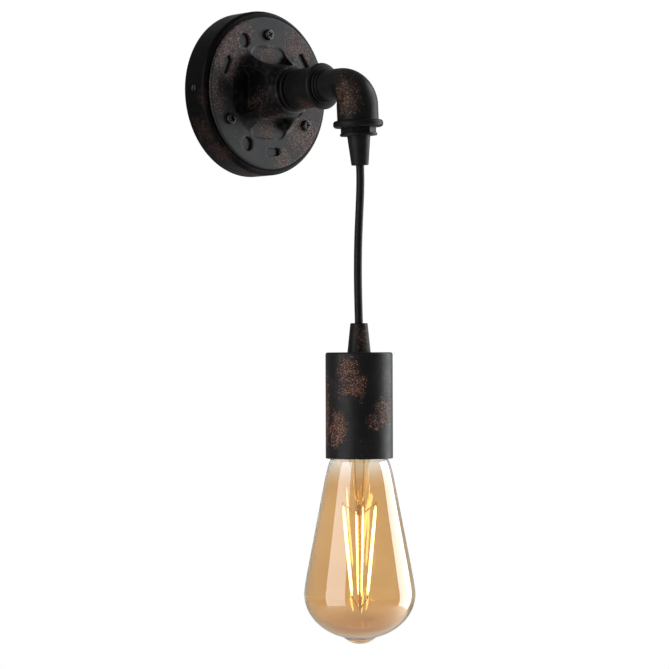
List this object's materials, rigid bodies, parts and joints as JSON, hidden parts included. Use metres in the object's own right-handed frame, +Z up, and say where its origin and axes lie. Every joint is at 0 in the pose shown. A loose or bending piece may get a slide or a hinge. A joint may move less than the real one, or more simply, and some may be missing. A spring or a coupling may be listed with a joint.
{
  "type": "pipe wall light",
  "caption": "Wall light of pipe fittings: round canopy, scalloped hub, pipe and elbow, and a cylindrical lampholder with a pear-shaped amber lamp on a short cord.",
  "frame": {"origin": "centre of the canopy's back, on the wall, midway between the two wall-screw slots", "axes": "the wall is the XZ plane and the light stands out along -Y; +Z is up; +X is to the right of someone who faces the wall"},
  "size_m": [0.1, 0.1272, 0.3743],
  "materials": {
    "bronzed_steel": "near-black satin paint, sponged with copper and rust",
    "bronzed_iron": "dark satin finish, mottled with copper and rust",
    "dark_screw": "blackened, slightly glossy",
    "zinc_steel": "zinc plated, satin",
    "brass": "bright, unpolished",
    "tinned_copper": "tinned, satin",
    "solder": "dull solder",
    "cap_metal": "nickelled brass, satin",
    "nickel_wire": "satin wire",
    "nylon": "black nylon",
    "white_nylon": "translucent white nylon",
    "cord_sheath": "black flexible sheath, soft sheen",
    "brown_insulation": "brown insulation",
    "blue_insulation": "light blue insulation",
    "earth_insulation": "green and yellow insulation",
    "black_phenolic": "moulded phenolic",
    "ceramic": "glazed white ceramic",
    "black_glass": "opaque black glass",
    "amber_glass": "clear amber glass",
    "clear_glass": "clear glass",
    "lit_stick": "phosphor-coated stick, lit"
  },
  "bodies": {
    "wall_unit": {"wall_bracket": "zinc_steel", "canopy_pan": "bronzed_steel", "side_screw_left": "dark_screw", "side_screw_right": "dark_screw", "face_plate": "bronzed_iron", "face_screw_1": "dark_screw", "face_screw_2": "dark_screw", "face_screw_3": "dark_screw", "face_nut_1": "zinc_steel", "face_nut_2": "zinc_steel", "face_nut_3": "zinc_steel", "threaded_nipple": "zinc_steel", "nipple_washer": "zinc_steel", "nipple_locknut": "zinc_steel", "pipe_coupling": "bronzed_iron", "elbow": "bronzed_iron", "hex_bush": "bronzed_iron", "upper_cord_grip": "bronzed_steel", "collet": "nylon", "inner_cord": "cord_sheath", "terminal_block": "white_nylon", "block_screw": "zinc_steel", "terminal_pole_live": "brass", "terminal_pole_neutral": "brass", "terminal_screw_live_upper": "zinc_steel", "terminal_screw_live_lower": "zinc_steel", "terminal_screw_neutral_upper": "zinc_steel", "terminal_screw_neutral_lower": "zinc_steel", "earth_screw": "brass", "earth_ring": "tinned_copper", "live_core": "brown_insulation", "neutral_core": "blue_insulation", "earth_core": "earth_insulation"},
    "cord_neck": {"cord_upper": "cord_sheath"},
    "cord_tail": {"cord_lower": "cord_sheath"},
    "lamp_unit": {"lower_cord_grip": "bronzed_steel", "holder_nipple": "zinc_steel", "lampholder_cup": "bronzed_steel", "holder_washer": "zinc_steel", "holder_locknut": "zinc_steel", "holder_dome": "black_phenolic", "holder_insert": "ceramic", "holder_screw_live": "brass", "holder_screw_neutral": "brass", "screw_shell": "brass", "holder_skirt": "black_phenolic", "socket_contact": "brass"},
    "bulb_foot": {"bulb_contact": "solder", "bulb_insulator": "black_glass"},
    "bulb": {"bulb_cap": "cap_metal", "bulb_glass": "amber_glass", "bulb_stem": "clear_glass", "cage_frame": "nickel_wire", "filament_1": "lit_stick", "filament_2": "lit_stick", "filament_3": "lit_stick", "filament_4": "lit_stick"}
  },
  "joints": [
    {"name": "swing_sideways", "type": "hinge", "parent": "wall_unit", "child": "cord_neck", "pos_m": [0.00313, -0.0951, -0.0542], "axis": [0, 1, 0], "range_deg": [-30, 30]},
    {"name": "swing_outward", "type": "hinge", "parent": "cord_neck", "child": "cord_tail", "pos_m": [0.0013, -0.0951, -0.0882], "axis": [-1, 0, 0], "range_deg": [-16, 30]},
    {"name": "lamp_twist", "type": "hinge", "parent": "cord_tail", "child": "lamp_unit", "pos_m": [0.0015, -0.0951, -0.2], "axis": [0, 0, 1], "range_deg": [-90, 90], "stiffness_Nm_per_rad": 0.003},
    {"name": "bulb_travel", "type": "slide", "parent": "lamp_unit", "child": "bulb_foot", "axis": [0, 0, -1], "range_m": [0, 0.01816]},
    {"name": "bulb_turn", "type": "hinge", "parent": "bulb_foot", "child": "bulb", "pos_m": [0.0015, -0.0951, -0.2], "axis": [0, 0, -1], "range_deg": [0, 1800]}
  ],
  "couplings": [
    {"joint": "bulb_travel", "follows": "bulb_turn", "m_per_rad": 0.00057757}
  ]
}
